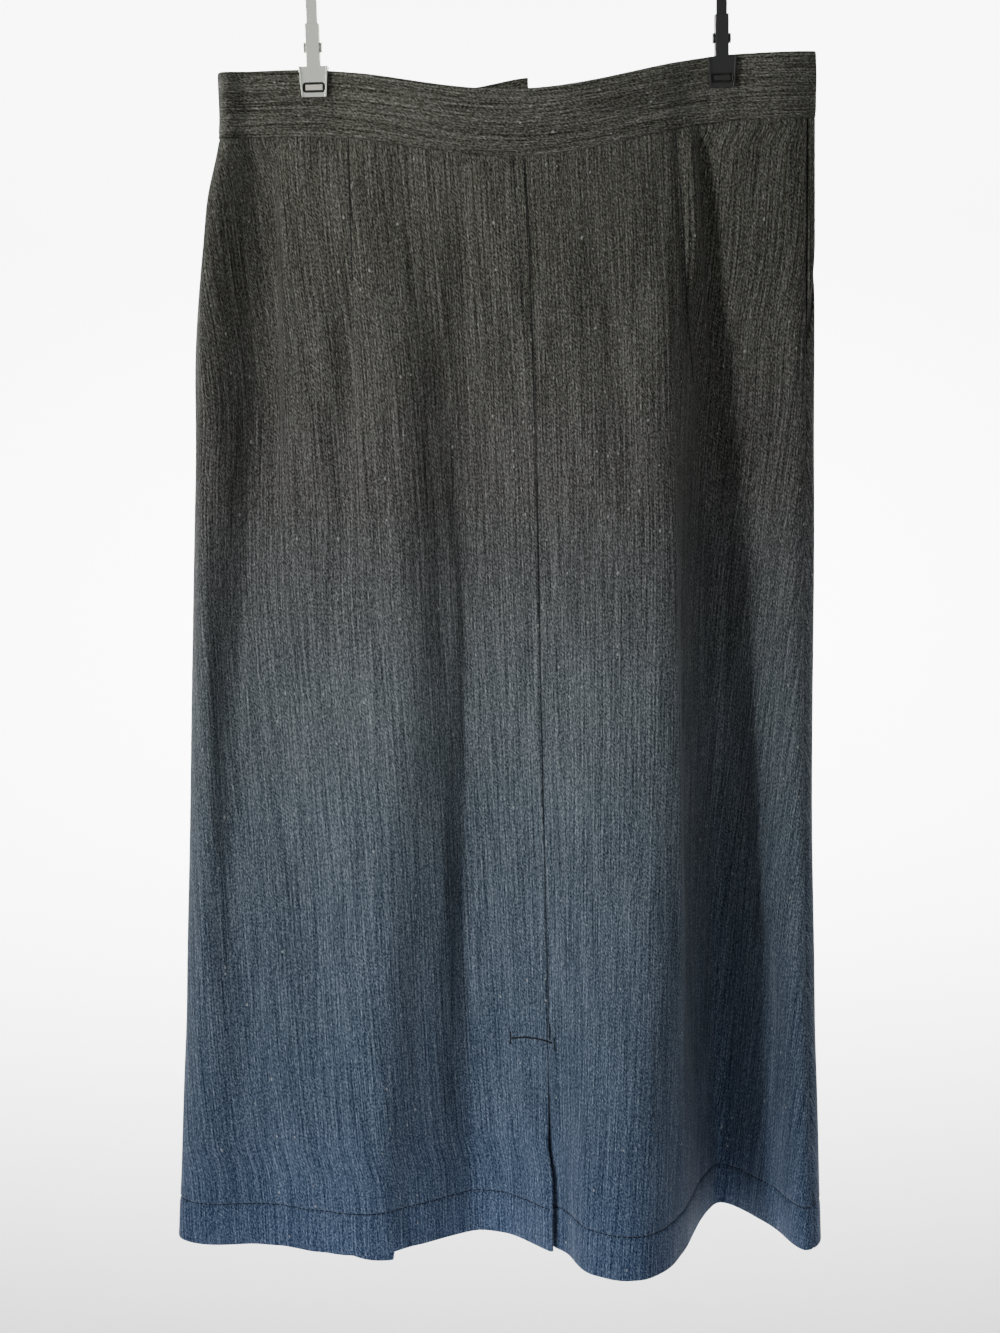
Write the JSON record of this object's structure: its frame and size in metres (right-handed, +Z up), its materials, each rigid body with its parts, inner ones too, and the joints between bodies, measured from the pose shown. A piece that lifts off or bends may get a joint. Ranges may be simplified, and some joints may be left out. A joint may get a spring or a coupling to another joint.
{
  "type": "midi skirt on clip hanger",
  "caption": "Calf-length denim skirt with a waistband, lapped front, slanted pockets and back vent, hung by its waist from a wire clip hanger.",
  "frame": {"origin": "the hang point, at the underside of the top of the hanger's hook, where it lies on a rail", "axes": "+Z up, +X to the right of someone looking at the back of the skirt, -Y out of the back of the skirt towards them"},
  "size_m": [0.4371, 0.144, 0.9339],
  "materials": {
    "denim": "matte charcoal denim with pale slubs, bluer towards the hem",
    "button": "dark horn look",
    "wire": "polished wire",
    "clip_silver": "worn plate",
    "clip_black": "black enamel",
    "pad_pale": "pale pad",
    "pad_black": "black pad"
  },
  "bodies": {
    "root": {"back_panel_left": "denim", "back_panel_right": "denim", "front_panel_left": "denim", "front_panel_right": "denim", "hip_piece_left": "denim", "hip_piece_right": "denim", "vent_underlap": "denim", "waistband": "denim", "waist_button": "button", "hanger_bar": "wire", "hanger_hook": "wire", "clip_left_near_jaw": "clip_silver", "clip_left_far_jaw": "clip_silver", "clip_left_pad": "pad_pale", "clip_left_spring": "clip_silver", "clip_left_link": "clip_silver", "clip_right_near_jaw": "clip_black", "clip_right_far_jaw": "clip_black", "clip_right_pad": "pad_black", "clip_right_spring": "clip_black", "clip_right_link": "clip_black"}
  },
  "joints": []
}
